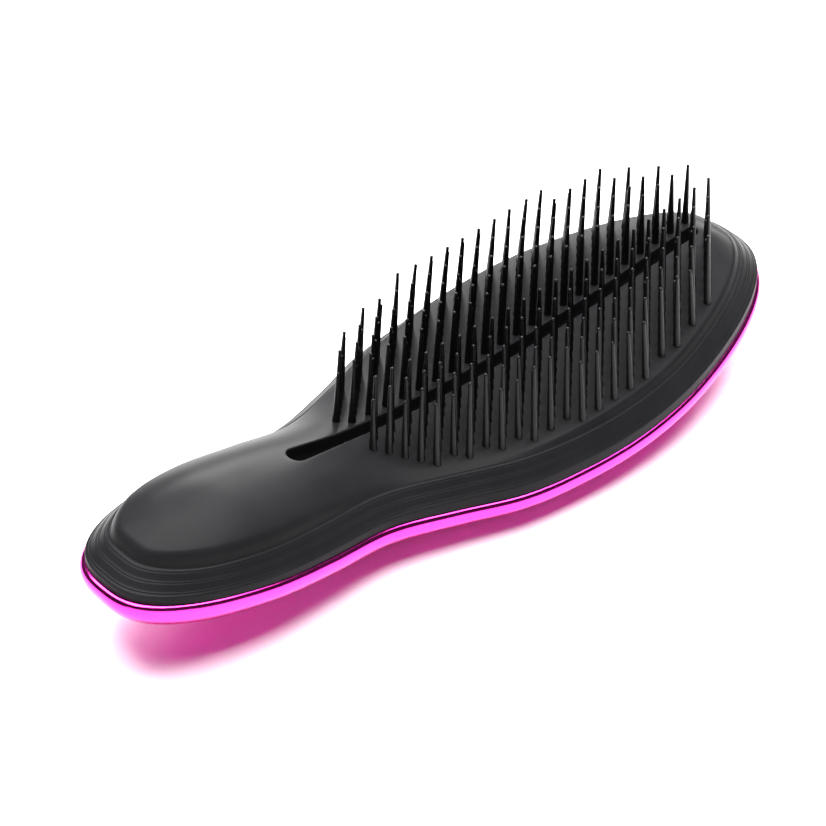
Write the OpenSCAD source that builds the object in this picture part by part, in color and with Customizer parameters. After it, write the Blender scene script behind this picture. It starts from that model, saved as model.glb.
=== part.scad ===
// Detangling brush: a black moulding with a handle and a head full of flexible teeth,
// closed underneath by a glossy back cover. It lies on its back, teeth up, with the
// middle of its belly on z = 0. +X runs along the brush to the tip of the head.

/* [Body] */
// Length, from the end of the handle to the tip of the head
brush_l = 216; // [190:1:240]
// Greatest width, across the head
head_w = 72.8; // [68:0.2:84]
// How far the end of the handle curves up above the lowest part of the bed
rocker_rise = 13; // [10:0.2:20]
// How far the middle of the bed stands above the plateau edge
crown_h = 2.7; // [2.2:0.1:3.6]
// How much higher the middle of the handle stands than the crown of the head does
handle_crown = 2.6; // [0:0.1:3]
// Where the brush rests, forward of its middle
belly_x = 12; // [8:1:20]
// Depth of the small flat that the belly rests on
rest_depth = 0.5; // [0.3:0.1:0.8]

/* [Front moulding] */
// Width of the stepped rim, from the outside to the foot of the plateau
rim_w = 6.2; // [5.6:0.1:6.8]
// Height of the middle ring of the rim above the parting line
ring_h = 5.9; // [5.6:0.1:6.4]
// How much higher each ring stands than the ring outside it
ring_rise = 1.9; // [1.7:0.05:2]
// Height of the plateau edge above the parting line
plateau_h = 10.1; // [9.8:0.1:10.8]
// How far the plateau wall leans in over its height
plateau_lean = 1.3; // [1.1:0.1:1.5]
// Rounding of the plateau edge
plateau_round = 0.3; // [0.2:0.1:0.5]
// How far the outside edge stands in from the edge of the back cover
edge_in = 1.2; // [0.8:0.1:1.3]
// Height of each of the three ring steps
ring_step = 0.4; // [0.25:0.05:0.5]
// Thickness of the moulding at its edge
front_wall = 2.4; // [1.8:0.1:2.6]
// Thickness of the bed under the tooth banks
bed_t = 1.8; // [1.4:0.1:2.2]
// Width of the long slot
slot_w = 3.4; // [2.4:0.1:3.8]
// Width of its end in the handle
slot_end_w = 5.2; // [4:0.1:6]
// Length of the slot
slot_l = 141.8; // [134:0.2:148]
// Distance from the slot to the tip of the head
head_gap = 16; // [14:0.2:18]

/* [Back cover] */
// Straight height of the cover below the parting line
lip_h = 2.4; // [1.8:0.1:4]
// Depth of the cover's dome where the brush rests
dome_h = 9; // [8:0.5:14]
// Wall of the cover
back_wall = 2; // [1.6:0.1:2.4]
// Height of the tongue that seats inside the front moulding
tongue_h = 0.8; // [0.5:0.05:1]
// Thickness of that tongue
tongue_t = 1.2; // [0.8:0.1:1.5]
// Rounding of the cover's upper edge
bead = 1.8; // [1.4:0.1:2]
// Bevel at the foot of the front moulding, which makes the dark seam
seam = 0.3; // [0.2:0.05:0.4]

/* [Teeth] */
// Distance between teeth along a row, at their feet
tooth_pitch = 5.62; // [5.4:0.02:5.8]
// Distance between rows, at their feet
row_pitch = 2.7; // [2.6:0.02:2.8]
// Distance from the centre line to the first row
first_row_y = 3.98; // [3.6:0.02:4.2]
// Place of the first tooth of that row, back from the middle of the brush
first_tooth_x = 25.9; // [24:0.1:28]
// Height of the long teeth above the middle of the bed
tooth_long = 19.2; // [16:0.1:24]
// Height of the short teeth above the middle of the bed
tooth_short = 14.8; // [10:0.1:15.8]
// Thickness of a tooth at its foot
tooth_foot_d = 2.1; // [1.7:0.1:2.3]
// Thickness of a tooth at its tip
tooth_tip_d = 0.9; // [0.7:0.1:1.2]
// Thickness of a tooth bank's slice of bed at its outer edge
bank_t = 1.2; // [0.8:0.1:1.6]
// Distance from that edge to the rounding of the plateau edge
bank_gap = 0; // [0:0.05:0.8]

/* [Posts and pins] */
// Outside of the hollow posts of the front moulding
post_d = 7; // [6:0.1:9]
// Pins of the back cover
pin_d = 3; // [2.4:0.1:3.6]
// Shoulder that carries each pin
boss_d = 6; // [5:0.1:7]
// How far the pins stand above the parting line
pin_reach = 4; // [3:0.1:4.4]
// How far the shoulders stop below the parting line
boss_drop = 2; // [1.5:0.1:3]

/* [Fits] */
// Clearance around the pins and beside the tongue
fit_clear = 0.15; // [0.1:0.01:0.25]
// Clearance around a tooth bank in its pocket
bank_clear = 0.1; // [0.05:0.01:0.2]
// Gap between a post and the shoulder below it
seat_gap = 0.3; // [0.1:0.05:0.4]

/* [Hidden] */

// Half width along the brush before its ends are rounded, handle to head, as shares of the greatest
width_shares = [0.9, 0.86, 0.81, 0.725, 0.67, 0.78, 0.935, 1.02, 1.08, 1.105, 1.09, 1.06, 1.02];
// How squarely the ends close; an ellipse would be 0.5
end_round_share = 0.375;
// Height of the bed's middle line along the brush, handle to head, as shares of the rise
rise_shares = [1, 0.71, 0.395, 0.165, 0.005, 0, 0.125, 0.34, 0.59];
// Height of the plateau edge along the brush, and of the middle ring
level_shares = [1.05, 1.05, 1.01, 0.84, 0.88, 0.98, 1, 1, 0.98];
ring_level_shares = [0.83, 0.83, 0.86, 0.92, 1, 1, 1, 1, 0.95];
// How the rim and the walls inside it narrow and widen along the brush
rim_shares = [1.24, 0.87, 0.87, 0.93, 0.96, 0.92, 0.89, 0.79, 0.77, 0.78, 0.85, 0.96, 1.12];
// Where along the half of the brush the handle's extra height starts and is all there, as shares of it
handle_shares = [0.19, 0.58];
// The same for the flatter end of the handle, and the share of the crown's height that is gone there
end_shares = [0.66, 0.96];
end_flat_share = 0.6;
// Powers with which the bed falls from its middle to its edges, on the head and on the handle
crown_powers = [2, 2.4];
// Where the shell's sections close on the middle line, as shares of half the length
spine_shares = [-0.8, 0.84];
// Places of the three rings across the rim, as shares of its width
ring_shares = [0.3, 0.59, 0.87];
// Inner rings of the crowned plateau, as shares of its half width
crown_shares = [0.85, 0.62, 0.36, 0.1];
// Rings of the ceiling inside, as shares of its half width
ceiling_shares = [0.6, 0.2];
// Roundness of the dome; 1 is an ellipse and less is fuller
dome_share = 0.9;
// Directions, from level to straight down, at which the dome has a ring
dome_angles = [14, 30, 46, 62, 78];
// How much closer together the teeth stand at their tips than at their feet, along the brush from the
// first tooth and across it from the middle
gather_shares = [0.014, 0.06];
// Posts along the brush and across it, as shares of half the length and half the head
post_shares = [[-0.67, 0], [-0.3, 0], [0.36, -0.42], [0.36, 0.42], [0.76, 0]];
// Points of half the outline
half_steps = 44;
// Points across a bank's slice of bed, and slices along it
bank_across = 5;
bank_slices = 24;
// Sides of a tooth
tooth_sides = 4;
round_fn = 40;
// Overrun of cuts, and sink of one solid into the next
over = 1;
skin = 0.01;

half_l = brush_l / 2;
slot_half = slot_w / 2;
rim_ring_run = ring_step / 3;
edge_lean = ring_step / 2;
plateau_in = rim_w + plateau_lean + plateau_round;
centre_h = plateau_h + crown_h;
ceiling_h = plateau_h * min(level_shares) - bank_t - bed_t;
inner_in = rim_w + front_wall * 2 / 3;
inner_floor_h = ring_h - bed_t;
tongue_in = front_wall + fit_clear;
tongue_room = tongue_h + fit_clear;
sink = tooth_foot_d / 3;

// Smooth value of a table of evenly spaced shares at u, from 0 to 1
function entry(table, i) =
    i < 0 ? 2 * table[0] - table[1] :
    i >= len(table) ? 2 * table[len(table) - 1] - table[len(table) - 2] : table[i];
function spline(a, b, c, d, f) =
    b + f * (c - a) / 2 + f * f * (2 * a - 5 * b + 4 * c - d) / 2 + f * f * f * (3 * b - a - 3 * c + d) / 2;
function smooth_at(table, u) =
    let (n = len(table) - 1, k = min(n - 1, max(0, floor(u * n))), f = u * n - k)
    spline(entry(table, k - 1), entry(table, k), entry(table, k + 1), entry(table, k + 2), f);

// Outline of the brush
function along(x) = min(1, max(0, x / brush_l + 1 / 2));
function width_at(u) = smooth_at(width_shares, u) * pow(max(0, 4 * u * (1 - u)), end_round_share);
width_peak = max([for (i = [1 : 99]) width_at(i / 100)]);
function half_w(x) = head_w / 2 * width_at(along(x)) / width_peak;
function turn(i) = 180 * i / half_steps;
near_side = [for (i = [0 : half_steps]) let (x = -half_l * cos(turn(i))) [x, -half_w(x)]];
far_side = [for (i = [half_steps - 1 : -1 : 1]) [near_side[i].x, -near_side[i].y]];
outline = concat(near_side, far_side);
n_out = len(outline);
function unit(v) = v / norm(v);
inward = [for (i = [0 : n_out - 1])
    let (v = unit(outline[(i + 1) % n_out] - outline[(i + n_out - 1) % n_out])) [-v.y, v.x]];

// Heights: the bed's middle line, the parting line under it and the cover's dome
function rise(x) = rocker_rise * smooth_at(rise_shares, along(x));
rise_slope = (rise(belly_x + over) - rise(belly_x - over)) / (2 * over);
function dome_depth(x) = dome_h + rise_slope * (x - belly_x);
parting_base = lip_h + dome_h - rest_depth - rise(belly_x);
function parting_z(x) = parting_base + rise(x);
function ease(t) = t * t * (3 - 2 * t);
function between(shares, x) = ease(min(1, max(0, (-x / half_l - shares[0]) / (shares[1] - shares[0]))));
function handle_at(x) = between(handle_shares, x);
function crown_at(x) =
    (crown_h + handle_crown * handle_at(x)) * (1 - end_flat_share * between(end_shares, x));
function level_at(x) = smooth_at(level_shares, along(x));
function ring_level_at(x) = smooth_at(ring_level_shares, along(x));
function plateau_at(x) = plateau_h * level_at(x);
function crown_power(x) = crown_powers[0] + (crown_powers[1] - crown_powers[0]) * handle_at(x);
function crown_left(x, share) =
    (plateau_h + crown_at(x) - plateau_at(x)) * (1 - pow(share, crown_power(x)));
function centre_z(x) = parting_z(x) + plateau_h + crown_at(x);

// Rings of points around the body
function rim_at(x) = smooth_at(rim_shares, along(x));
function inset_xy(i, inset) = outline[i] + inset * rim_at(outline[i].x) * inward[i];
function foot(p) = [min(half_l * spine_shares[1], max(half_l * spine_shares[0], p.x)), 0];
function toward(p, share) = foot(p) + share * (p - foot(p));
function lift(p, h) = [p.x, p.y, parting_z(p.x) + h];
function ring(inset, h, level = 0, rings = 0) = [for (i = [0 : n_out - 1])
    let (p = inset_xy(i, inset)) lift(p, h + level * level_at(p.x) + rings * ring_level_at(p.x))];
function crown_ring(share) = [for (i = [0 : n_out - 1])
    let (p = toward(inset_xy(i, plateau_in), share)) lift(p, plateau_at(p.x) + crown_left(p.x, share))];
function plan_ring(inset, share, h) = [for (i = [0 : n_out - 1]) lift(toward(inset_xy(i, inset), share), h)];
function dome_ring(inset, angle, wall) = [for (i = [0 : n_out - 1])
    let (p = toward(inset_xy(i, inset), pow(cos(angle), dome_share)),
        z = parting_z(p.x) - lip_h - (dome_depth(p.x) - wall) * sin(angle))
    [p.x, p.y, max(wall, z)]];

// A closed shell through rings of the same number of points, capped straight across at both ends
module ring_loft(rings) {
    n = len(rings[0]);
    half = n / 2;
    last = (len(rings) - 1) * n;
    sides = [for (k = [0 : len(rings) - 2], i = [0 : n - 1])
        let (a = k * n + i, b = k * n + (i + 1) % n)
        each [[a, b, b + n], [a, b + n, a + n]]];
    first_cap = [for (i = [0 : half - 1])
        let (a = i, b = i + 1, c = n - i - 1, d = (n - i) % n)
        each concat(i < half - 1 ? [[a, c, b]] : [], i > 0 ? [[a, d, c]] : [])];
    last_cap = [for (f = first_cap) [f[0] + last, f[2] + last, f[1] + last]];
    polyhedron(points = [for (r = rings) each r], faces = concat(sides, first_cap, last_cap));
}

// Width of the plateau, and the top of the bed
function plateau_half(x) = half_w(x)
    - plateau_in * rim_at(x) * norm([1, (half_w(x + over) - half_w(x - over)) / (2 * over)]);
function bed_z(x, y) = parting_z(x) + plateau_at(x) + crown_left(x, y / plateau_half(x));

// Plan of a tooth bank, as its outer edge at each station along it. Its ends are slanted as the lattice
// of teeth is, and elsewhere it stops short of the plateau's rounded edge.
slot_front = half_l - head_gap;
slot_back = slot_front - slot_l;
row_step = tooth_pitch / 2;
tooth_edge = tooth_foot_d / 2;
bank_x0 = -first_tooth_x - 2 * row_step - tooth_edge;
bank_x1 = slot_front + tooth_foot_d;
bank_flare = row_pitch / row_step;
function bank_y(x) = min(
    plateau_half(x) - plateau_round - bank_gap,
    first_row_y + tooth_edge + min(x - bank_x0, bank_x1 - x) * bank_flare);
function bank_x(k) = bank_x0 + (bank_x1 - bank_x0) * k / bank_slices;
function pocket_z(x) = parting_z(x) + plateau_at(x) - bank_t;

// The slot widens to a round end in the handle. Its front end is square, and the first teeth of both
// banks stand beside it.
module pocket_plan() {
    for (side = [-1, 1])
        polygon(concat(
            [for (k = [0 : bank_slices])
                [bank_x(k) + bank_clear * sign(2 * k - bank_slices), side * (bank_y(bank_x(k)) + bank_clear)]],
            [for (k = [bank_slices, 0])
                [bank_x(k) + bank_clear * sign(2 * k - bank_slices), side * (slot_half - bank_clear)]]));
    hull() {
        translate([slot_back + slot_end_w / 2, 0]) circle(d = slot_end_w, $fn = round_fn);
        translate([bank_x0, -slot_half]) square([slot_w, slot_w]);
    }
    translate([bank_x0, -slot_half]) square([slot_front - bank_x0, slot_w]);
}

// The pocket and the slot, cut down to a floor that follows the bed
module pocket_cut() {
    stations = concat([slot_back - slot_w, (bank_x0 + slot_back) / 2],
        [for (k = [0 : bank_slices]) bank_x(k)], [slot_front + 2 * slot_w]);
    roof = centre_z(-half_l) + centre_h;
    intersection() {
        linear_extrude(height = roof) pocket_plan();
        rotate([90, 0, 0])
            translate([0, 0, -head_w / 2])
            linear_extrude(height = head_w)
            polygon(concat([for (x = stations) [x, pocket_z(x)]],
                [[stations[len(stations) - 1], roof], [stations[0], roof]]));
    }
}

module each_post() {
    for (s = post_shares) let (x = s[0] * half_l, y = s[1] * head_w / 2) translate([x, y, parting_z(x)]) children();
}

module front_shell() {
    edge_drop = ring_rise + ring_step * 5 / 4;
    steps = [for (k = [0 : 2], side = [0, 1])
        [rim_w * ring_shares[k] + side * rim_ring_run, (k - 1) * ring_rise + (side - 1) * ring_step, 0, ring_h]];
    outer = concat(
        [[edge_in + seam, 0, 0, 0], [edge_in, seam, 0, 0],
         [edge_in, -edge_drop - edge_lean, 0, ring_h], [edge_in + edge_lean, -edge_drop, 0, ring_h]],
        steps,
        [[rim_w, ring_rise + ring_step / 3, 0, ring_h],
         [rim_w + plateau_lean, -plateau_round, plateau_h, 0],
         [rim_w + plateau_lean + plateau_round / 3, -plateau_round / 3, plateau_h, 0],
         [plateau_in, 0, plateau_h, 0]]);
    inner = [
        [front_wall, 0],
        [tongue_in + fit_clear, tongue_room],
        [inner_in, inner_floor_h],
        [inner_in + front_wall / 4, ceiling_h - plateau_round],
        [inner_in + front_wall / 3, ceiling_h]];
    ring_loft(concat(
        [for (k = [len(crown_shares) - 1 : -1 : 0]) crown_ring(crown_shares[k])],
        [for (k = [len(outer) - 1 : -1 : 0]) let (o = outer[k]) ring(o[0], o[1], o[2], o[3])],
        [for (p = inner) ring(p[0], p[1])],
        [for (s = ceiling_shares) plan_ring(inner[len(inner) - 1][0], s, ceiling_h)]));
}

module front_moulding() {
    color("#3c3c3f")
    difference() {
        union() {
            front_shell();
            each_post() translate([0, 0, seat_gap - boss_drop])
                cylinder(d = post_d, h = ceiling_h + boss_drop - seat_gap + bed_t / 2, $fn = round_fn);
        }
        pocket_cut();
        each_post() translate([0, 0, -boss_drop])
            cylinder(d = pin_d + 2 * fit_clear, h = boss_drop + pin_reach + 2 * seat_gap, $fn = round_fn);
    }
}

// One section of a bank's slice of bed: flat below, crowned above
function bank_section(x) =
    let (ys = [for (i = [0 : bank_across]) slot_half + (bank_y(x) - slot_half) * i / bank_across])
    concat(
        [for (y = ys) [x, y, pocket_z(x) + bank_clear]],
        [for (i = [bank_across : -1 : 0]) [x, ys[i], bed_z(x, ys[i])]]);

// Where the tip of a tooth stands, from where its foot stands
function gathered(p) = [p.x - (p.x + first_tooth_x) * gather_shares[0], p.y * (1 - gather_shares[1])];

// All teeth of a bank in one solid of separate tapered prisms: long and short rows in turn, the short ones
// half a pitch back, wherever a whole foot stands on the bank
module teeth() {
    rows = floor((head_w / 2 - first_row_y) / row_pitch);
    columns = floor((bank_x1 + first_tooth_x) / tooth_pitch) + 1;
    places = [for (r = [0 : rows], k = [0 : columns])
        let (short = r % 2, y = first_row_y + r * row_pitch, x = k * tooth_pitch - first_tooth_x - short * row_step)
        if (y + tooth_edge <= bank_y(x)) [x, y, short]];
    n = tooth_sides;
    points = [for (p = places, end = [0, 1], j = [0 : n - 1])
        let (a = 360 * (j + 1 / 2) / n,
            r = (end == 0 ? tooth_foot_d : tooth_tip_d) / 2,
            c = end == 0 ? [p.x, p.y] : gathered(p),
            tip = parting_z(p.x) + centre_h + (p.z == 1 ? tooth_short : tooth_long))
        [c.x + r * cos(a), c.y + r * sin(a), end == 0 ? bed_z(p.x, p.y) - sink : tip]];
    faces = [for (t = [0 : len(places) - 1])
        let (b = t * 2 * n)
        each concat(
            [for (j = [0 : n - 1]) each [
                [b + j, b + n + j, b + (j + 1) % n],
                [b + (j + 1) % n, b + n + j, b + n + (j + 1) % n]]],
            [[for (j = [0 : n - 1]) b + j]],
            [[for (j = [n - 1 : -1 : 0]) b + n + j]])];
    polyhedron(points = points, faces = faces);
}

module tooth_bank() {
    ring_loft([for (k = [bank_slices : -1 : 0]) bank_section(bank_x(k))]);
    teeth();
}

module far_tooth_bank() {
    color("#1d1d1f") tooth_bank();
}

module near_tooth_bank() {
    color("#1d1d1f") mirror([0, 1, 0]) tooth_bank();
}

// Inside height of the cover at a place
function cover_floor(x, y) =
    let (a = acos(pow(min(1, abs(y) / half_w(x)), 1 / dome_share)))
    max(back_wall, parting_z(x) - lip_h - (dome_depth(x) - back_wall) * sin(a));

module back_shell() {
    rim = [
        [tongue_in + tongue_t, -lip_h],
        [tongue_in + tongue_t, tongue_h],
        [tongue_in, tongue_h],
        [tongue_in, 0],
        [bead, 0],
        [bead * 0.3, -bead * 0.3],
        [0, -bead],
        [0, -lip_h]];
    ring_loft(concat(
        [for (i = [len(dome_angles) - 1 : -1 : 0]) dome_ring(tongue_in + tongue_t, dome_angles[i], back_wall)],
        [for (p = rim) ring(p[0], p[1])],
        [for (a = dome_angles) dome_ring(0, a, 0)]));
}

module back_cover() {
    color("#ff4fd0") {
        back_shell();
        for (s = post_shares) let (x = s[0] * half_l, y = s[1] * head_w / 2, floor_z = cover_floor(x, y)) {
            translate([x, y, floor_z - back_wall / 2])
                cylinder(d = boss_d, h = parting_z(x) - boss_drop - floor_z + back_wall / 2, $fn = round_fn);
            translate([x, y, parting_z(x) - boss_drop - over])
                cylinder(d = pin_d, h = boss_drop + over + pin_reach, $fn = round_fn);
        }
    }
}

front_moulding();
near_tooth_bank();
far_tooth_bank();
back_cover();
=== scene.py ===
import math
import bpy
import numpy as np
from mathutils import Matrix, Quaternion, Vector


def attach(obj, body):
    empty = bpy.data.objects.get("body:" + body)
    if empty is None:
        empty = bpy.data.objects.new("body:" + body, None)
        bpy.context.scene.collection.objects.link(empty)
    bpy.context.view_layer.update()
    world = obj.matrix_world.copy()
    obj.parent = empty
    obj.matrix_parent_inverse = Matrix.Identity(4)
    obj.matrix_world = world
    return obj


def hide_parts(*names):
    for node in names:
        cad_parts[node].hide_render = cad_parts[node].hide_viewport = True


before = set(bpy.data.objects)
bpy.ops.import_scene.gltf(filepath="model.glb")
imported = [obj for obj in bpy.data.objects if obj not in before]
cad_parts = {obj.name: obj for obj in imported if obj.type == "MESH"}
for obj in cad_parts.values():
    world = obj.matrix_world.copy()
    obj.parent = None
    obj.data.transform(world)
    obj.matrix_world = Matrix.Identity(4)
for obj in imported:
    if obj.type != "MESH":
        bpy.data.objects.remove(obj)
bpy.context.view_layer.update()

MM = 0.001

# Sizes of the brush in millimetres, as the solids have them
BRUSH_L = 216.0
HALF_L = BRUSH_L / 2
HEAD_W = 72.8
RISE = 13.0
BELLY_X = 12.0
REST_DEPTH = 0.5

# Crown of the bed, and what the handle adds to it
CROWN_H = 2.7
HANDLE_CROWN = 2.6
HANDLE_SHARES = (0.19, 0.58)
END_SHARES = (0.66, 0.96)
END_FLAT = 0.6
CROWN_POWERS = (2, 2.4)

# Stepped rim and plateau
RIM_W = 6.2
RING_H = 5.9
RING_RISE = 1.9
RING_STEP = 0.4
RING_SHARES = (0.3, 0.59, 0.87)
EDGE_IN = 1.2
FRONT_WALL = 2.4
PLATEAU_H = 10.1
PLATEAU_LEAN = 1.3
PLATEAU_ROUND = 0.3
PLATEAU_IN = RIM_W + PLATEAU_LEAN + PLATEAU_ROUND
CENTRE_H = PLATEAU_H + CROWN_H

# Slot
SLOT_W = 3.4
SLOT_R = SLOT_W / 2
SLOT_END_R = 2.6
SLOT_FRONT = HALF_L - 16.0
SLOT_BACK = SLOT_FRONT - 141.8

# Back cover
LIP_H = 2.4
DOME_H = 9.0
DOME_SHARE = 0.9
BACK_WALL = 2.0
TONGUE_IN = 2.55
TONGUE_T = 1.2
TONGUE_H = 0.8

# Teeth
TOOTH_PITCH = 5.62
ROW_PITCH = 2.7
FIRST_ROW_Y = 3.98
FIRST_TOOTH_X = 25.9
TOOTH_LONG = 19.2
TOOTH_SHORT = 14.8
TOOTH_FOOT_R = 1.05
TOOTH_TIP_R = 0.45
TIP_GATHER = (0.014, 0.06)
BANK_X0 = -FIRST_TOOTH_X - TOOTH_PITCH - TOOTH_FOOT_R
BANK_X1 = SLOT_FRONT + 2 * TOOTH_FOOT_R

# Shares along the brush, from the end of the handle to the tip of the head
WIDTH_SHARES = [0.9, 0.86, 0.81, 0.725, 0.67, 0.78, 0.935, 1.02, 1.08, 1.105, 1.09, 1.06, 1.02]
END_ROUND = 0.375
RISE_SHARES = [1, 0.71, 0.395, 0.165, 0.005, 0, 0.125, 0.34, 0.59]
RIM_SHARES = [1.24, 0.87, 0.87, 0.93, 0.96, 0.92, 0.89, 0.79, 0.77, 0.78, 0.85, 0.96, 1.12]
LEVEL_SHARES = [1.05, 1.05, 1.01, 0.84, 0.88, 0.98, 1, 1, 0.98]
RING_LEVEL_SHARES = [0.83, 0.83, 0.86, 0.92, 1, 1, 1, 1, 0.95]
SPINE = [-0.8 * HALF_L, 0.84 * HALF_L]


# Smooth value of a table of evenly spaced shares at u, from 0 to 1
def smooth_at(table, u):
    t = np.array([2 * table[0] - table[1]] + list(table) + [2 * table[-1] - table[-2]], float)
    n = len(table) - 1
    u = np.clip(np.asarray(u, float), 0, 1)
    k = np.clip(np.floor(u * n).astype(int), 0, n - 1)
    f = u * n - k
    a, b, c, d = t[k], t[k + 1], t[k + 2], t[k + 3]
    curve = f * f * (2 * a - 5 * b + 4 * c - d) / 2 + f ** 3 * (3 * b - a - 3 * c + d) / 2
    return b + f * (c - a) / 2 + curve


def ease(t):
    return t * t * (3 - 2 * t)


def along(x):
    return np.clip(np.asarray(x, float) / BRUSH_L + 0.5, 0, 1)


def width_at(u):
    return smooth_at(WIDTH_SHARES, u) * np.maximum(0, 4 * u * (1 - u)) ** END_ROUND


WIDTH_PEAK = float(np.max(width_at(np.arange(1, 100) / 100)))


def half_w(x):
    return HEAD_W / 2 * width_at(along(x)) / WIDTH_PEAK


def rim_at(x):
    return smooth_at(RIM_SHARES, along(x))


def rise(x):
    return RISE * smooth_at(RISE_SHARES, along(x))


RISE_SLOPE = float(rise(BELLY_X + 1) - rise(BELLY_X - 1)) / 2
PARTING_BASE = LIP_H + DOME_H - REST_DEPTH - float(rise(BELLY_X))


def parting_z(x):
    return PARTING_BASE + rise(x)


def dome_depth(x):
    return DOME_H + RISE_SLOPE * (x - BELLY_X)


# From 0 towards the head to 1 towards the end of the handle
def between(shares, x):
    return ease(np.clip((-np.asarray(x, float) / HALF_L - shares[0]) / (shares[1] - shares[0]), 0, 1))


def handle_at(x):
    return between(HANDLE_SHARES, x)


def crown_at(x):
    return (CROWN_H + HANDLE_CROWN * handle_at(x)) * (1 - END_FLAT * between(END_SHARES, x))


def centre_z(x):
    return parting_z(x) + PLATEAU_H + crown_at(x)


# Outline of the brush, with its points closer together at the ends
HALF_STEPS = 260
END_CROWDING = 0.6


def outline_points():
    u = np.arange(HALF_STEPS + 1) / HALF_STEPS
    turn = math.pi * ((1 - END_CROWDING) * u + END_CROWDING * ease(u))
    x = -HALF_L * np.cos(turn)
    near = np.stack([x, -half_w(x)], 1)
    far = near[-2:0:-1] * [1, -1]
    return np.concatenate([near, far])


OUT = outline_points()
RUN = np.roll(OUT, -1, 0) - np.roll(OUT, 1, 0)
RUN = RUN / np.linalg.norm(RUN, axis=1)[:, None]
INWARD = np.stack([-RUN[:, 1], RUN[:, 0]], 1)
RIM = rim_at(OUT[:, 0])[:, None]


def inset(d):
    return OUT + d * RIM * INWARD


def spine_foot(p, low=SPINE[0], high=SPINE[1]):
    return np.stack([np.clip(p[:, 0], low, high), np.zeros(len(p))], 1)


def toward(p, share):
    f = spine_foot(p)
    return f + share * (p - f)


def lift(p, z):
    return np.concatenate([p, np.broadcast_to(np.asarray(z, float), (len(p),))[:, None]], 1)


# Ring of points at an inset and a height above the parting line; level and rings are heights that
# follow the plateau's edge and the middle ring along the brush
def ring(d, h, level=0.0, rings=0.0):
    p = inset(d)
    u = along(p[:, 0])
    up = h + level * smooth_at(LEVEL_SHARES, u) + rings * smooth_at(RING_LEVEL_SHARES, u)
    return lift(p, parting_z(p[:, 0]) + up)


# Height of the crowned bed anywhere on the plateau
EDGE = inset(PLATEAU_IN)
NEAR_EDGE = EDGE[:HALF_STEPS + 1]
EDGE_OVERLAP = 0.5


def edge_share(p):
    x, y = p[:, 0], np.abs(p[:, 1])
    order = np.argsort(NEAR_EDGE[:, 0])
    share = y / np.interp(x, NEAR_EDGE[order, 0], -NEAR_EDGE[order, 1])
    for end, side in ((SPINE[0], -1), (SPINE[1], 1)):
        past = (NEAR_EDGE[:, 0] - end) * side >= -EDGE_OVERLAP
        e = NEAR_EDGE[past]
        angle = np.arctan2(-e[:, 1], (e[:, 0] - end) * side)
        reach = np.hypot(e[:, 0] - end, e[:, 1])
        k = np.argsort(angle)
        a = np.arctan2(y, (x - end) * side)
        s = np.hypot(x - end, y) / np.interp(a, angle[k], reach[k])
        share = np.where((x - end) * side > 0, s, share)
    return np.clip(share, 0, 1)


def bed_z(p):
    x = p[:, 0]
    power = CROWN_POWERS[0] + (CROWN_POWERS[1] - CROWN_POWERS[0]) * handle_at(x)
    fall = PLATEAU_H + crown_at(x) - PLATEAU_H * smooth_at(LEVEL_SHARES, along(x))
    return centre_z(x) - fall * edge_share(p) ** power


# Mesh object from arrays of points in millimetres and faces
def add_mesh(name, points, faces, smooth=True):
    me = bpy.data.meshes.new(name)
    me.from_pydata([tuple(p) for p in np.asarray(points) * MM], [], faces)
    me.validate()
    me.polygons.foreach_set("use_smooth", [smooth] * len(me.polygons))
    me.update()
    ob = bpy.data.objects.new(name, me)
    bpy.context.scene.collection.objects.link(ob)
    return ob


def loft_faces(count, n, base=0):
    faces = []
    for k in range(count - 1):
        for i in range(n):
            a = base + k * n + i
            b = base + k * n + (i + 1) % n
            faces.append((a, b, b + n, a + n))
    return faces


# Faces across a closed ring whose two halves mirror each other
def cap_faces(n, base, flip):
    faces = []
    half = n // 2
    for i in range(half):
        a, b, c, d = i, i + 1, n - i - 1, (n - i) % n
        if i == 0:
            f = (a, c, b)
        elif i == half - 1:
            f = (a, d, b)
        else:
            f = (a, d, c, b)
        faces.append(tuple(base + v for v in (reversed(f) if flip else f)))
    return faces


def ring_loft(name, rings):
    n = len(rings[0])
    faces = loft_faces(len(rings), n)
    faces += cap_faces(n, 0, False)
    faces += cap_faces(n, (len(rings) - 1) * n, True)
    return add_mesh(name, np.concatenate(rings), faces)


# Points on a quarter round from one corner to another, through the corner between
def rounded(a, corner, b, steps):
    a, corner, b = (np.array(v, float) for v in (a, corner, b))
    out = []
    for t in np.linspace(0, 1, steps + 1):
        out.append(tuple((1 - t) ** 2 * a + 2 * t * (1 - t) * corner + t * t * b))
    return out


# Front moulding: slot, crowned bed, plateau wall, stepped rim, edge and the shell's inside
SLOT_DEEP = 5.0
SLOT_LIP = 0.45
SLOT_MIDDLE = 0.15
CROWN_STEPS = 26
EDGE_SOFT = 0.9
HANDLE_SOFT = 1.4
SOFT_REACH = 2.6
SOFT_MOST = 0.6
WALL_FOOT_IN = RIM_W + 0.16
WALL_FOOT_UP = 0.36
TREAD_STOPS = (0.1, 0.35, 0.6, 0.85)
INNER_IN = RIM_W + 2.4
CEILING_H = 5.4
CEILING_SHARES = (0.7, 0.4, 0.12)
SEAM_GAP = 0.02


# The slot widens to its round end in the handle
def slot_ring(grow, drop):
    f = spine_foot(EDGE, SLOT_BACK + SLOT_END_R, SLOT_FRONT - SLOT_R)
    v = EDGE - f
    v = v / np.linalg.norm(v, axis=1)[:, None]
    wide = np.clip((BANK_X0 - f[:, 0]) / (BANK_X0 - SLOT_BACK - SLOT_END_R), 0, 1)
    radius = SLOT_R + wide * (SLOT_END_R - SLOT_R) + grow
    p = f + radius[:, None] * v
    return lift(p, bed_z(p) - drop)


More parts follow.
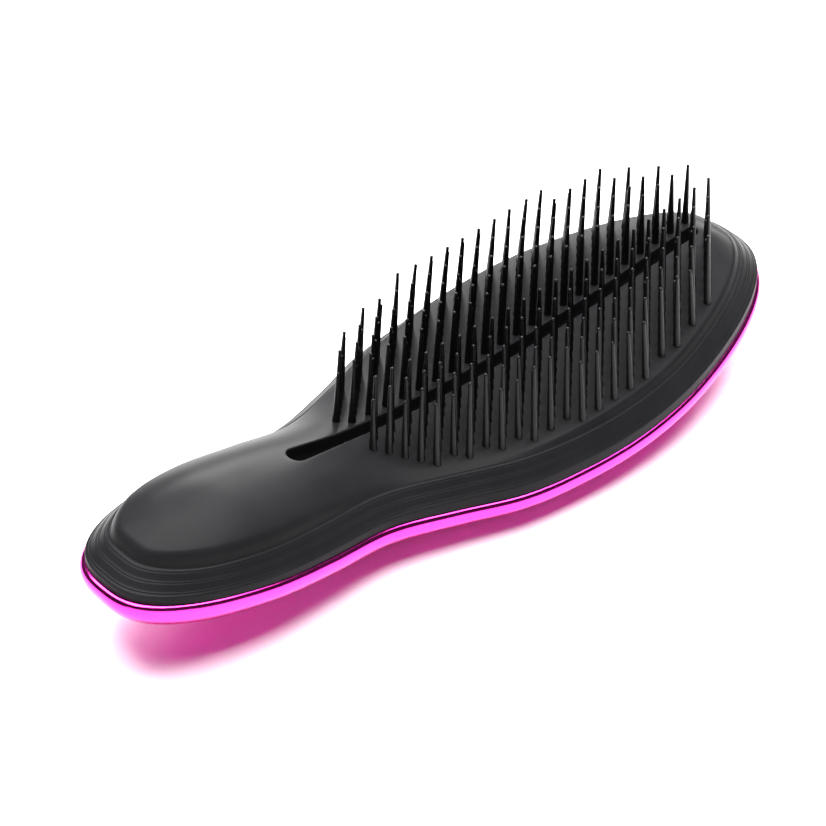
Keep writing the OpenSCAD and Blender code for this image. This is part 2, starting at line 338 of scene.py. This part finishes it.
# From the middle of the slot's floor up its wall and over its rounded lip
def slot_rings():
    section = [(SLOT_MIDDLE - SLOT_R, SLOT_DEEP), (-0.5, SLOT_DEEP), (-0.15, SLOT_DEEP - 0.08)]
    section += [(0, SLOT_DEEP - 0.4), (0, SLOT_DEEP / 2)]
    section += rounded((0, SLOT_LIP), (0, 0), (SLOT_LIP, 0), 5)
    return [slot_ring(grow, drop) for grow, drop in section]


def crown_rings(lip, shelf):
    rings = []
    for k in range(1, CROWN_STEPS + 1):
        p = lip + k / CROWN_STEPS * (shelf - lip)
        rings.append(lift(p, bed_z(p)))
    return rings


# Round the plateau's soft edge and down its slanted wall
def wall_rings(shelf, soft):
    corner = ring(RIM_W + PLATEAU_LEAN + 0.1, -0.08, PLATEAU_H)
    foot = ring(WALL_FOOT_IN, RING_RISE + WALL_FOOT_UP, 0, RING_H)
    under = corner + (foot - corner) * np.clip(soft / SOFT_REACH, 0, SOFT_MOST)[:, None]
    rings = []
    for t in np.arange(1, 9) / 8:
        rings.append((1 - t) ** 2 * shelf + 2 * t * (1 - t) * corner + t * t * under)
    for t in (0.25, 0.5, 0.75):
        rings.append(under + t * (foot - under))
    return rings


# Three straight treads with a small rounded riser and lip between them, from outside to inside
def rim_section():
    section = []
    last = (EDGE_IN + 0.3, -0.5 - RING_RISE)
    for k, share in enumerate(RING_SHARES):
        x = RIM_W * share
        up = (k - 1) * RING_RISE
        foot = (x - 0.2, up - RING_STEP)
        for t in TREAD_STOPS:
            section.append(tuple(a + t * (b - a) for a, b in zip(last, foot)))
        section += rounded(foot, (x - 0.02, foot[1] + 0.06), (x + 0.04, foot[1] + 0.16), 3)
        section += rounded((x + 0.1, up - 0.16), (x + 0.16, up), (x + 0.34, up + 0.06), 6)
        last = (x + 0.42, up + 0.11)
    return section


# Inset, height, and heights that follow the plateau and the rings, from the plateau's foot to the inside
def shell_profile():
    foot = rounded((WALL_FOOT_IN, WALL_FOOT_UP), (RIM_W - 0.02, 0.16), (RIM_W - 0.24, 0.1), 4)
    edge = rounded((EDGE_IN + 0.26, -0.54), (EDGE_IN + 0.03, -0.64), (EDGE_IN, -1.0), 5)
    prof = [(d, h + RING_RISE, 0, RING_H) for d, h in foot]
    prof += [(d, h, 0, RING_H) for d, h in reversed(rim_section())]
    prof += [(d, h - RING_RISE, 0, RING_H) for d, h in edge]
    prof += [(EDGE_IN, -1.8, 0, RING_H * 0.6), (EDGE_IN, -0.7, 0, RING_H * 0.3)]
    prof += rounded((EDGE_IN, 0.25), (EDGE_IN + 0.02, 0.05), (EDGE_IN + 0.2, SEAM_GAP), 3)
    prof += [(EDGE_IN + 0.4, SEAM_GAP), (FRONT_WALL - 0.1, SEAM_GAP)]
    prof += [(TONGUE_IN + 0.15, 0.95), (RIM_W + 1.6, 3.8), (RIM_W + 2.2, 5.0), (INNER_IN, CEILING_H)]
    return prof


def front_rings():
    soft = EDGE_SOFT + (HANDLE_SOFT - EDGE_SOFT) * handle_at(OUT[:, 0])
    shelf = inset(PLATEAU_IN - PLATEAU_ROUND + soft[:, None])
    rings = slot_rings()
    rings += crown_rings(rings[-1][:, :2], shelf)
    rings += wall_rings(rings[-1], soft)
    rings += [ring(*p) for p in shell_profile()]
    for share in CEILING_SHARES:
        p = toward(inset(INNER_IN), share)
        rings.append(lift(p, parting_z(p[:, 0]) + CEILING_H))
    return rings


# Back cover: rounded bead at the seam, straight lip, full dome with its small flat, and the shell's inside
BEAD_IN = 1.8
BEAD_DOWN = 2.4
BEAD_TOP = -0.04
INNER_ANGLES = (78, 60, 40, 20)
DOME_STEPS = 40
FIRST_DOME_STEP = 0.85


def dome_ring(edge, angle, wall):
    p = toward(edge, math.cos(angle) ** DOME_SHARE)
    z = parting_z(p[:, 0]) - LIP_H - (dome_depth(p[:, 0]) - wall) * math.sin(angle)
    return lift(p, np.maximum(wall, z))


def back_rings():
    inner_in = TONGUE_IN + TONGUE_T
    rings = [dome_ring(inset(inner_in), math.radians(a), BACK_WALL) for a in INNER_ANGLES]
    rim = [(inner_in, -LIP_H), (inner_in, TONGUE_H), (TONGUE_IN, TONGUE_H), (TONGUE_IN, -SEAM_GAP)]
    rim += [(BEAD_IN + 0.15, -SEAM_GAP)]
    rim += rounded((BEAD_IN, BEAD_TOP), (0, BEAD_TOP), (0, -BEAD_DOWN), 12)
    rings += [ring(d, h) for d, h in rim]
    for k in range(DOME_STEPS):
        rings.append(dome_ring(OUT, math.pi / 2 * (k + FIRST_DOME_STEP) / DOME_STEPS, 0))
    return rings


front_shell = ring_loft("front_shell", front_rings()[::-1])
back_shell = ring_loft("back_shell", back_rings()[::-1])

# Teeth: long and short rows in turn, in two banks that mirror each other
TOOTH_SIDES = 12
MOST_ROWS = 16
MOST_COLUMNS = 40
FOOT_SECTION = ((-0.6, 1.02), (-0.12, 1.02), (0.06, 0.99), (0.3, 0.955))
TAPER_FROM = TOOTH_FOOT_R * 0.95
TAPER_TO = TOOTH_TIP_R * 0.92
TAPER_STOPS = (0.15, 0.35, 0.55, 0.75, 0.88)
TIP_NECK = (2.1, 0.95)
TIP_SWELL = 1.08
TIP_ANGLES = (-20, 15, 45, 72)
BEND_SHARE = 0.006
BEND_POWER = 1.8


def plateau_half(x):
    slope = (half_w(x + 1) - half_w(x - 1)) / 2
    return half_w(x) - PLATEAU_IN * rim_at(x) * np.hypot(1, slope)


def bank_y(x):
    from_ends = np.minimum(x - BANK_X0, BANK_X1 - x) * 2 * ROW_PITCH / TOOTH_PITCH
    return np.minimum(plateau_half(x) - PLATEAU_ROUND, FIRST_ROW_Y + TOOTH_FOOT_R + from_ends)


def tooth_places():
    out = []
    for row in range(MOST_ROWS):
        for k in range(MOST_COLUMNS):
            short = row % 2
            x = k * TOOTH_PITCH - FIRST_TOOTH_X - short * TOOTH_PITCH / 2
            y = FIRST_ROW_Y + row * ROW_PITCH
            if x < BANK_X1 and y + TOOTH_FOOT_R <= float(bank_y(x)):
                out.append((x, y, short))
    return out


# Height above the foot and radius, from below the bed to the rounded tip
def tooth_section(tall):
    section = [(h, share * TOOTH_FOOT_R) for h, share in FOOT_SECTION]
    section += [(t * tall, TAPER_FROM + t * (TAPER_TO - TAPER_FROM)) for t in TAPER_STOPS]
    section.append((tall - TIP_NECK[0] * TOOTH_TIP_R, TIP_NECK[1] * TOOTH_TIP_R))
    for degrees in TIP_ANGLES:
        a = math.radians(degrees)
        section.append((tall - TOOTH_TIP_R * (1 - math.sin(a)), TOOTH_TIP_R * math.cos(a) * TIP_SWELL))
    return section


def teeth_mesh(name, side, seed):
    rng = np.random.default_rng(seed)
    turn = np.arange(TOOTH_SIDES) * 2 * math.pi / TOOTH_SIDES
    circle = np.stack([np.cos(turn), np.sin(turn)], 1)
    points, faces = [], []
    for x, y, short in tooth_places():
        foot_xy = np.array([x, side * y])
        base = float(bed_z(foot_xy[None])[0])
        tip = float(parting_z(x)) + CENTRE_H + (TOOTH_SHORT if short else TOOTH_LONG)
        tall = tip - base
        draw = np.array([-(x + FIRST_TOOTH_X) * TIP_GATHER[0], -side * y * TIP_GATHER[1]])
        bend = rng.normal(0, BEND_SHARE, 2) * tall
        section = tooth_section(tall)
        first = len(points)
        for h, r in section:
            share = max(0, h / tall)
            c = foot_xy + draw * h / tall + bend * share ** BEND_POWER
            for q in circle:
                points.append((c[0] + r * q[0], c[1] + r * q[1], base + h))
        faces += loft_faces(len(section), TOOTH_SIDES, first)
        points.append((*(foot_xy + draw + bend), base + tall))
        last = first + (len(section) - 1) * TOOTH_SIDES
        apex = len(points) - 1
        faces += [(last + j, last + (j + 1) % TOOTH_SIDES, apex) for j in range(TOOTH_SIDES)]
        faces.append(tuple(first + j for j in reversed(range(TOOTH_SIDES))))
    return add_mesh(name, points, faces)


near_teeth = teeth_mesh("near_teeth", -1, 5)
far_teeth = teeth_mesh("far_teeth", 1, 6)

# Pieces, what they ride on and what they stand for
for piece, node, slot in ((front_shell, "front_moulding", "front_plastic"),
                          (near_teeth, "near_tooth_bank", "tooth_plastic"),
                          (far_teeth, "far_tooth_bank", "tooth_plastic"),
                          (back_shell, "back_cover", "plated_plastic")):
    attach(piece, "root")
    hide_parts(node)


# Material helpers
def new_material(name):
    mat = bpy.data.materials.new(name)
    mat.use_nodes = True
    nodes = mat.node_tree.nodes
    links = mat.node_tree.links
    shader = nodes["Principled BSDF"]
    return mat, nodes, links, shader


def noise(nodes, links, coords, scale, detail):
    n = nodes.new("ShaderNodeTexNoise")
    n.inputs["Scale"].default_value = scale
    n.inputs["Detail"].default_value = detail
    links.new(coords.outputs["Object"], n.inputs["Vector"])
    return n


# Evens out a noise into a narrow range of greys or colours, and feeds it to a socket
CLOUD_LOW = 0.3
CLOUD_HIGH = 0.7


def vary(nodes, links, cloud, low, high, socket):
    r = nodes.new("ShaderNodeValToRGB")
    for e, position, value in zip(r.color_ramp.elements, (CLOUD_LOW, CLOUD_HIGH), (low, high)):
        e.position = position
        e.color = (value, value, value, 1) if isinstance(value, float) else (*value, 1)
    links.new(cloud.outputs["Fac"], r.inputs["Fac"])
    links.new(r.outputs["Color"], socket)


def bump(nodes, links, height, strength, distance, shader):
    b = nodes.new("ShaderNodeBump")
    b.inputs["Strength"].default_value = strength
    b.inputs["Distance"].default_value = distance
    links.new(height.outputs["Fac"], b.inputs["Height"])
    links.new(b.outputs["Normal"], shader.inputs["Normal"])


# Satin plastic with a fine moulded grain and a slight cloudiness
def moulded_plastic(name, dark, light, rough_low, rough_high, gloss):
    mat, nodes, links, shader = new_material(name)
    shader.inputs["Specular IOR Level"].default_value = gloss
    coords = nodes.new("ShaderNodeTexCoord")
    grain = noise(nodes, links, coords, 5200, 2)
    cloud = noise(nodes, links, coords, 55, 4)
    vary(nodes, links, cloud, dark, light, shader.inputs["Base Color"])
    vary(nodes, links, cloud, rough_low, rough_high, shader.inputs["Roughness"])
    bump(nodes, links, grain, 0.12, 0.00004, shader)
    return mat


# Mirror-like plating with a faint waviness
def plated_metal(name, dark, light, rough_low, rough_high):
    mat, nodes, links, shader = new_material(name)
    shader.inputs["Metallic"].default_value = 1.0
    coords = nodes.new("ShaderNodeTexCoord")
    cloud = noise(nodes, links, coords, 38, 3)
    vary(nodes, links, cloud, dark, light, shader.inputs["Base Color"])
    vary(nodes, links, cloud, rough_low, rough_high, shader.inputs["Roughness"])
    bump(nodes, links, cloud, 0.1, 0.0004, shader)
    return mat


def paper(name, dark, light):
    mat, nodes, links, shader = new_material(name)
    shader.inputs["Roughness"].default_value = 0.35
    coords = nodes.new("ShaderNodeTexCoord")
    cloud = noise(nodes, links, coords, 6, 3)
    vary(nodes, links, cloud, dark, light, shader.inputs["Base Color"])
    return mat


front_black = moulded_plastic(
    "front_black", (0.009, 0.009, 0.0098), (0.0115, 0.0115, 0.0125), 0.34, 0.39, 0.05)
tooth_black = moulded_plastic(
    "tooth_black", (0.0045, 0.0045, 0.005), (0.006, 0.006, 0.0065), 0.32, 0.37, 0.16)
plated_pink = plated_metal("plated_pink", (0.93, 0.045, 0.49), (0.97, 0.06, 0.55), 0.14, 0.19)

front_shell.data.materials.append(front_black)
near_teeth.data.materials.append(tooth_black)
far_teeth.data.materials.append(tooth_black)
back_shell.data.materials.append(plated_pink)

# Floor, a hair below the belly
FLOOR_HALF = 3000
FLOOR_DROP = 0.0002
corners = [(sx * FLOOR_HALF, sy * FLOOR_HALF, 0) for sx, sy in ((-1, -1), (1, -1), (1, 1), (-1, 1))]
floor = add_mesh("floor", corners, [(0, 1, 2, 3)], False)
floor.location.z = -FLOOR_DROP
floor.data.materials.append(paper("paper_floor", 0.9, 0.93))

# Camera at the photograph's angle
AIM = Vector((-0.00645, 0.00272, 0.0185))
AZIM = math.radians(44.53)
ELEV = math.radians(40.235)
ROLL = math.radians(2.523)
DIST = 0.75896
LENS = 133.18
SENSOR_W = 36
back_dir = Vector((-math.sin(AZIM) * math.cos(ELEV), -math.cos(AZIM) * math.cos(ELEV), math.sin(ELEV)))
cam_data = bpy.data.cameras.new("camera")
cam_data.lens = LENS
cam_data.sensor_width = SENSOR_W
cam = bpy.data.objects.new("camera", cam_data)
bpy.context.scene.collection.objects.link(cam)
cam.location = AIM + DIST * back_dir
cam.rotation_euler = (back_dir.to_track_quat("Z", "Y") @ Quaternion((0, 0, 1), ROLL)).to_euler()
bpy.context.scene.camera = cam


# Soft studio light: a wide overhead, a small edge light, a long strip behind and a low front fill
def area_light(name, at, aim, size, power):
    data = bpy.data.lights.new(name, "AREA")
    data.shape = "RECTANGLE"
    data.size = size[0]
    data.size_y = size[1]
    data.energy = power
    ob = bpy.data.objects.new(name, data)
    ob.location = at
    ob.rotation_euler = (Vector(aim) - Vector(at)).to_track_quat("-Z", "Y").to_euler()
    bpy.context.scene.collection.objects.link(ob)


area_light("overhead", (0.06, 0.18, 1.0), (0.03, 0.04, 0), (1.15, 1.15), 49)
area_light("edge", (0.5, -0.15, 0.9), (0.05, -0.03, 0), (0.1, 0.25), 0.7)
area_light("behind", (1.05, 0.72, 0.5), (0, 0, 0.03), (1.2, 0.26), 27)
area_light("front", (-0.75, -0.8, 0.1), (0, 0, 0.05), (1.6, 0.1), 2)

ROOM_LIGHT = 0.05
world = bpy.data.worlds.new("studio")
world.use_nodes = True
backdrop = world.node_tree.nodes["Background"]
backdrop.inputs["Color"].default_value = (1, 1, 1, 1)
backdrop.inputs["Strength"].default_value = ROOM_LIGHT
bpy.context.scene.world = world
bpy.context.scene.view_settings.view_transform = "Standard"
